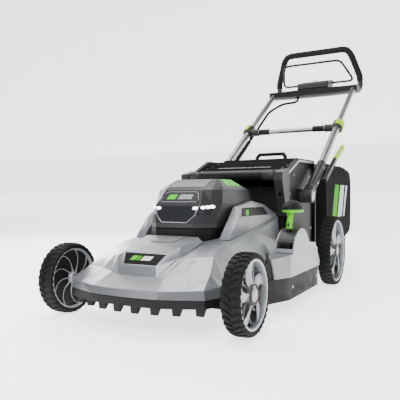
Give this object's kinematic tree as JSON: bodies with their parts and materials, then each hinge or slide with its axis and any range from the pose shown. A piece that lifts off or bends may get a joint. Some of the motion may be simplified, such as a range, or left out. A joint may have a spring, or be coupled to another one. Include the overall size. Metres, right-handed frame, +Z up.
{
  "type": "push lawn mower",
  "caption": "Battery walk-behind lawn mower with folding telescopic handle, bail, cutting-height lever, hinged hood and rear door, grass bag and spinning wheels and blade",
  "frame": {"origin": "bottom centre of the whole mower's bounding box, on the ground", "axes": "+Z up, +Y to the rear where the operator stands, +X to the operator's left"},
  "size_m": [0.586, 1.7374, 1.0883],
  "materials": {
    "silver_plastic": "satin silver-grey",
    "black_plastic": "fine-grain black",
    "charcoal_plastic": "satin charcoal",
    "lime_plastic": "glossy lime",
    "tyre_rubber": "moulded tread",
    "zinc_steel": "zinc-plated",
    "blade_steel": "black e-coat",
    "aluminium_tube": "brushed, clear anodised",
    "grip_foam": "soft foam",
    "bag_fabric": "woven polyester"
  },
  "bodies": {
    "bag_body": {"bag_frame": "black_plastic", "grass_bag": "bag_fabric"},
    "bail_body": {"bail": "blade_steel"},
    "deck": {"battery_base": "black_plastic", "battery_pack": "charcoal_plastic", "deck_cover": "silver_plastic", "deck_pan": "black_plastic", "discharge_chute": "black_plastic", "front_bumper": "black_plastic", "handle_pillar_left": "charcoal_plastic", "handle_pillar_right": "charcoal_plastic", "hood_pod_left": "silver_plastic", "hood_pod_right": "silver_plastic", "lever_gate": "charcoal_plastic", "motor_housing": "charcoal_plastic", "nose_panel": "silver_plastic", "rear_cheek_left": "black_plastic", "rear_cheek_right": "black_plastic", "side_block_left": "silver_plastic", "side_block_right": "silver_plastic"},
    "battery_hood_body": {"battery_hood": "charcoal_plastic"},
    "blade_body": {"blade": "blade_steel", "motor_rotor": "zinc_steel"},
    "cam_lever_left_body": {"cam_lever_left": "lime_plastic"},
    "cam_lever_right_body": {"cam_lever_right": "lime_plastic"},
    "handle_upper": {"conduit": "black_plastic", "control_bar": "black_plastic", "corner_bracket_left": "charcoal_plastic", "corner_bracket_right": "charcoal_plastic", "grip_loop": "grip_foam", "switch_box": "charcoal_plastic", "upper_tube_left": "aluminium_tube", "upper_tube_right": "aluminium_tube"},
    "handle_lower": {"conduit_sleeve": "black_plastic", "crossbar": "aluminium_tube", "handle_clamp_left": "charcoal_plastic", "handle_clamp_right": "charcoal_plastic", "lower_tube_left": "aluminium_tube", "lower_tube_right": "aluminium_tube", "tube_socket_left": "charcoal_plastic", "tube_socket_right": "charcoal_plastic"},
    "front_axle_body": {"front_axle": "zinc_steel"},
    "front_wheel_left": {"front_wheel_left_rim": "silver_plastic", "front_wheel_left_tyre": "tyre_rubber"},
    "front_wheel_right": {"front_wheel_right_rim": "silver_plastic", "front_wheel_right_tyre": "tyre_rubber"},
    "hood_latch_body": {"hood_latch": "charcoal_plastic"},
    "height_lever_body": {"lever_arm": "blade_steel", "lever_knob": "black_plastic"},
    "link_rod_body": {"link_rod": "zinc_steel"},
    "rear_axle_body": {"rear_axle": "zinc_steel"},
    "rear_door_body": {"rear_door": "black_plastic"},
    "rear_wheel_left": {"rear_wheel_left_rim": "silver_plastic", "rear_wheel_left_tyre": "tyre_rubber"},
    "rear_wheel_right": {"rear_wheel_right_rim": "silver_plastic", "rear_wheel_right_tyre": "tyre_rubber"},
    "release_lever_left_body": {"release_lever_left": "lime_plastic"},
    "release_lever_right_body": {"release_lever_right": "lime_plastic"},
    "side_flap_body": {"side_flap": "charcoal_plastic"},
    "start_button_body": {"start_button": "lime_plastic"}
  },
  "joints": [
    {"name": "handle_fold", "type": "hinge", "parent": "deck", "child": "handle_lower", "pos_m": [0, -0.05367, 0.321], "axis": [1, 0, 0], "range_deg": [0, 130]},
    {"name": "handle_extend", "type": "slide", "parent": "handle_lower", "child": "handle_upper", "axis": [0, 0.829, 0.5592], "range_m": [-0.17, 0]},
    {"name": "cam_lever_left_turn", "type": "hinge", "parent": "handle_lower", "child": "cam_lever_left_body", "pos_m": [0.205, 0.38207, 0.64603], "axis": [0, -0.829, -0.5592], "range_deg": [0, 110]},
    {"name": "cam_lever_right_turn", "type": "hinge", "parent": "handle_lower", "child": "cam_lever_right_body", "pos_m": [-0.205, 0.38207, 0.64603], "axis": [0, 0.829, 0.5592], "range_deg": [0, 110]},
    {"name": "release_lever_left_lift", "type": "hinge", "parent": "handle_lower", "child": "release_lever_left_body", "pos_m": [0.239, 0.05969, 0.3854], "axis": [1, 0, 0], "range_deg": [0, 20], "stiffness_Nm_per_rad": 0.8, "springref_deg": -11.46},
    {"name": "release_lever_right_lift", "type": "hinge", "parent": "handle_lower", "child": "release_lever_right_body", "pos_m": [-0.239, 0.05969, 0.3854], "axis": [1, 0, 0], "range_deg": [0, 20], "stiffness_Nm_per_rad": 0.8, "springref_deg": -11.46},
    {"name": "bail_pull", "type": "hinge", "parent": "handle_upper", "child": "bail_body", "pos_m": [0, 0.84333, 0.917], "axis": [-1, 0, 0], "range_deg": [0, 36], "stiffness_Nm_per_rad": 0.6, "springref_deg": -11.46},
    {"name": "start_button_press", "type": "slide", "parent": "handle_upper", "child": "start_button_body", "axis": [0, 0, -1], "range_m": [0, 0.0035], "stiffness_N_per_m": 400, "springref_m": -0.001},
    {"name": "hood_open", "type": "hinge", "parent": "deck", "child": "battery_hood_body", "pos_m": [0, -0.30767, 0.252], "axis": [-1, 0, 0], "range_deg": [0, 48]},
    {"name": "hood_latch_press", "type": "slide", "parent": "battery_hood_body", "child": "hood_latch_body", "axis": [-1, 0, 0], "range_m": [0, 0.002], "stiffness_N_per_m": 500, "springref_m": -0.001},
    {"name": "height_lever_swing", "type": "hinge", "parent": "deck", "child": "height_lever_body", "pos_m": [0.245, -0.35367, 0.14426], "axis": [-1, 0, 0], "range_deg": [0, 50]},
    {"name": "front_axle_turn", "type": "hinge", "parent": "deck", "child": "front_axle_body", "pos_m": [0, -0.67602, 0.06193], "axis": [1, 0, 0], "range_deg": [0, 48]},
    {"name": "link_rod_turn", "type": "hinge", "parent": "front_axle_body", "child": "link_rod_body", "pos_m": [0.224, -0.65975, 0.09847], "axis": [1, 0, 0], "range_deg": [-48, 0]},
    {"name": "rear_axle_turn", "type": "hinge", "parent": "deck", "child": "rear_axle_body", "pos_m": [0, 0.10998, 0.08993], "axis": [1, 0, 0], "range_deg": [0, 48]},
    {"name": "front_wheel_left_spin", "type": "hinge", "parent": "front_axle_body", "child": "front_wheel_left", "pos_m": [0.266, -0.75367, 0.0965], "axis": [1, 0, 0], "continuous": true},
    {"name": "front_wheel_right_spin", "type": "hinge", "parent": "front_axle_body", "child": "front_wheel_right", "pos_m": [-0.266, -0.75367, 0.0965], "axis": [1, 0, 0], "continuous": true},
    {"name": "rear_wheel_left_spin", "type": "hinge", "parent": "rear_axle_body", "child": "rear_wheel_left", "pos_m": [0.269, 0.03233, 0.1245], "axis": [1, 0, 0], "continuous": true},
    {"name": "rear_wheel_right_spin", "type": "hinge", "parent": "rear_axle_body", "child": "rear_wheel_right", "pos_m": [-0.269, 0.03233, 0.1245], "axis": [1, 0, 0], "continuous": true},
    {"name": "blade_spin", "type": "hinge", "parent": "deck", "child": "blade_body", "pos_m": [0, -0.36867, 0.046], "axis": [0, 0, 1], "continuous": true},
    {"name": "rear_door_lift", "type": "hinge", "parent": "deck", "child": "rear_door_body", "pos_m": [0, -0.25667, 0.389], "axis": [1, 0, 0], "range_deg": [0, 60]},
    {"name": "grass_bag_slide", "type": "slide", "parent": "deck", "child": "bag_body", "axis": [0, 1, 0], "range_m": [0, 0.2]},
    {"name": "side_flap_lift", "type": "hinge", "parent": "deck", "child": "side_flap_body", "pos_m": [-0.2708, -0.29367, 0.0878], "axis": [0, 1, 0], "range_deg": [0, 80], "stiffness_Nm_per_rad": 0.08, "springref_deg": -11.46}
  ],
  "couplings": [
    {"joint": "front_axle_turn", "follows": "height_lever_swing", "ratio": 0.96},
    {"joint": "rear_axle_turn", "follows": "height_lever_swing", "ratio": 0.96},
    {"joint": "link_rod_turn", "follows": "height_lever_swing", "ratio": -0.96}
  ]
}
